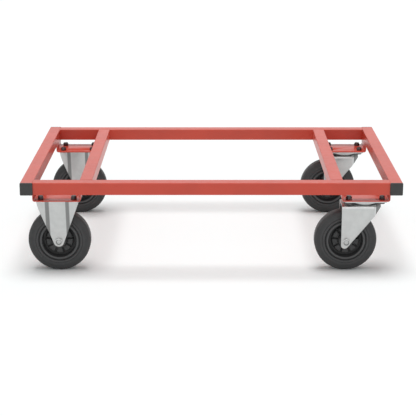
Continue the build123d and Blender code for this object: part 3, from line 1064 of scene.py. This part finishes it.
class DOLLY_OT_castors(bpy.types.Operator):
    """Round the edges of the zinc pressings and plate them"""

    bl_idname = "dolly.castors"
    bl_label = "Castor pressings"

    def execute(self, context):
        sizes = context.scene.dolly_pressed
        plain = zinc_finish("zinc_plate").material
        fixed_x = middle("fixed_bracket_front").x
        swivel_x = middle("swivel_plate_front").x
        # painted shade on the brackets' upright steps
        step = (sizes.step_place, sizes.step_width, sizes.step_shade)
        # painted shade on the forks' wings
        wing = (sizes.wing_place, sizes.wing_width, sizes.wing_shade)
        # painted highlight along the forks' bends
        bend_highlight_place = sizes.wing_place - (sizes.wing_width + sizes.bend_width) / 2
        bend = (bend_highlight_place, sizes.bend_width, sizes.bend_shade)
        finishes = {
            "fixed_bracket": zinc_with_painted_strips("bracket_zinc_painted_shade", fixed_x, [step], both_sides=True),
            "fork": zinc_with_painted_strips("fork_zinc_painted_light", swivel_x, [wing, bend], both_sides=False),
            "swivel_plate": plain,
        }
        for row in ROWS:
            bodies = {"fixed_bracket": "frame", "swivel_plate": "frame", "fork": f"swivel_{row}"}
            for kind, body in bodies.items():
                piece = softened(f"{kind}_{row}", f"pressed_{kind}_{row}", sizes.edge_round)
                dress(piece, finishes[kind], body, "castor_zinc", f"{kind}_{row}")
        paint(plain, "kingpins", "lower_races")
        return {"FINISHED"}


class DOLLY_OT_bearings(bpy.types.Operator):
    """Model the balls of the swivel heads and finish the axle tubes and rollers"""

    bl_idname = "dolly.bearings"
    bl_label = "Bearings"

    def execute(self, context):
        sizes = context.scene.dolly_pressed
        material = bearing_steel()
        for row in ROWS:
            node = f"ball_ring_{row}"
            pitch = half(node, "x") - half(node, "z")
            balls = []
            for number in range(sizes.ball_count):
                turn = 2 * pi * number / sizes.ball_count
                spot = middle(node) + Matrix.Rotation(turn, 3, "Z") @ Vector((pitch, 0, 0))
                deselect()
                bpy.ops.mesh.primitive_ico_sphere_add(
                    subdivisions=2, radius=sizes.ball_radius, location=spot)
                balls.append(bpy.context.active_object)
                apply_place(balls[-1])
            ring = join(f"balls_{row}", balls)
            smooth(ring, angle=60)
            dress(ring, material, f"swivel_{row}", "bearing_steel", node)
        tubes = ["fixed_axle_tubes", *[f"swivel_axle_tube_{row}" for row in ROWS]]
        cages = [f"roller_cage_{corner}" for corner in CORNERS]
        spacers = [f"axle_spacers_{row}" for row in ROWS]
        paint(material, *tubes, *cages)
        paint(zinc_finish("spacer_zinc", SPACER_SHADE).material, *spacers)
        return {"FINISHED"}


class DOLLY_OT_stage(bpy.types.Operator):
    """Set up the studio floor, lamps, room and camera"""

    bl_idname = "dolly.stage"
    bl_label = "Stage"

    def execute(self, context):
        scene = context.scene
        stage = scene.dolly_stage
        scene.view_settings.view_transform = "Standard"
        deselect()
        bpy.ops.mesh.primitive_plane_add(size=FLOOR_SIZE, location=(0, 0, CAD_BOX[0].z))
        floor = context.active_object
        floor.name = "studio_floor"
        apply_place(floor)
        floor.data.materials.append(self.floor_material(colours().floor))
        self.room(scene, stage.sky)
        self.add_light("top_light", stage.top_strength, stage.top_spread, pi / 2)
        self.add_light("front_light", stage.front_strength, stage.front_spread, stage.front_height)
        self.add_camera(scene, stage)
        return {"FINISHED"}

    def add_camera(self, scene, stage):
        """The camera that takes the photo's view."""
        lens = bpy.data.cameras.new("camera")
        lens.lens = stage.lens
        lens.sensor_width = SENSOR_WIDTH
        lens.shift_x = stage.shift
        lens.clip_end = CLIP_END
        camera = bpy.data.objects.new("camera", lens)
        camera.location = stage.camera
        camera.rotation_euler = (pi / 2 - stage.pitch, 0, 0)
        link(camera)
        scene.camera = camera

    def add_light(self, name, strength, spread, height):
        """A broad light from the front side, at an angle above the floor."""
        light = bpy.data.lights.new(name, "SUN")
        light.energy = strength
        light.angle = spread
        obj = bpy.data.objects.new(name, light)
        obj.rotation_euler = (pi / 2 - height, 0, 0)
        link(obj)

    def floor_material(self, colour):
        """A pale matt floor that keeps the object's shadow."""
        material = bpy.data.materials.new("studio_floor")
        material.use_nodes = True
        tree = material.node_tree
        tree.nodes.remove(tree.nodes["Principled BSDF"])
        matt = add_node(tree, "BsdfDiffuse", {"Color": (*colour, 1)})
        tree.links.new(matt.outputs["BSDF"], tree.nodes["Material Output"].inputs["Surface"])
        return material

    def room(self, scene, sky):
        """A room that is white to look at and in reflections, and lights the object softly."""
        world = bpy.data.worlds.new("studio_room")
        scene.world = world
        world.use_nodes = True
        tree = world.node_tree
        rays = add_node(tree, "LightPath", {}).outputs
        seen = rays["Is Camera Ray"]
        for ray in ("Is Glossy Ray", "Is Transmission Ray"):
            either = add_node(tree, "Math", {0: seen, 1: rays[ray]}, operation="MAXIMUM")
            seen = either.outputs["Value"]
        strength = add_node(tree, "MapRange", {"Value": seen, "To Min": sky, "To Max": 1.0})
        backdrop = tree.nodes["Background"].inputs
        backdrop["Color"].default_value = (1, 1, 1, 1)
        tree.links.new(strength.outputs["Result"], backdrop["Strength"])


GROUPS = {
    "dolly_colours": DollyColours, "dolly_wheels": WheelSizes, "dolly_fasteners": FastenerSizes,
    "dolly_pressed": PressedSizes, "dolly_stage": StageSettings,
}
OPERATORS = (
    DOLLY_OT_frame, DOLLY_OT_caps, DOLLY_OT_tyres, DOLLY_OT_wheel_centres,
    DOLLY_OT_castor_fasteners, DOLLY_OT_axles, DOLLY_OT_castors, DOLLY_OT_bearings, DOLLY_OT_stage,
)


class DOLLY_PT_panel(bpy.types.Panel):
    """The dolly's pieces, one button each, and their settings"""

    bl_idname = "DOLLY_PT_panel"
    bl_label = "Pallet dolly"
    bl_space_type = "VIEW_3D"
    bl_region_type = "UI"
    bl_category = "Dolly"

    def draw(self, context):
        for operator in OPERATORS:
            self.layout.operator(operator.bl_idname)
        for group in GROUPS:
            box = self.layout.box()
            settings = getattr(context.scene, group)
            for name in settings.bl_rna.properties.keys():
                if name not in ("rna_type", "name"):
                    box.prop(settings, name)


def register():
    """Add the settings, the operators and the panel."""
    for group, kind in GROUPS.items():
        bpy.utils.register_class(kind)
        setattr(bpy.types.Scene, group, PointerProperty(type=kind))
    for operator in OPERATORS:
        bpy.utils.register_class(operator)
    bpy.utils.register_class(DOLLY_PT_panel)


def unregister():
    """Take the panel, the operators and the settings away again."""
    bpy.utils.unregister_class(DOLLY_PT_panel)
    for operator in reversed(OPERATORS):
        bpy.utils.unregister_class(operator)
    for group, kind in reversed(GROUPS.items()):
        delattr(bpy.types.Scene, group)
        bpy.utils.unregister_class(kind)


def main():
    """Run the operators in order."""
    register()
    bpy.ops.dolly.frame()
    bpy.ops.dolly.caps()
    bpy.ops.dolly.tyres()
    bpy.ops.dolly.wheel_centres()
    bpy.ops.dolly.castor_fasteners()
    bpy.ops.dolly.axles()
    bpy.ops.dolly.castors()
    bpy.ops.dolly.bearings()
    bpy.ops.dolly.stage()


if __name__ == "__main__":
    main()
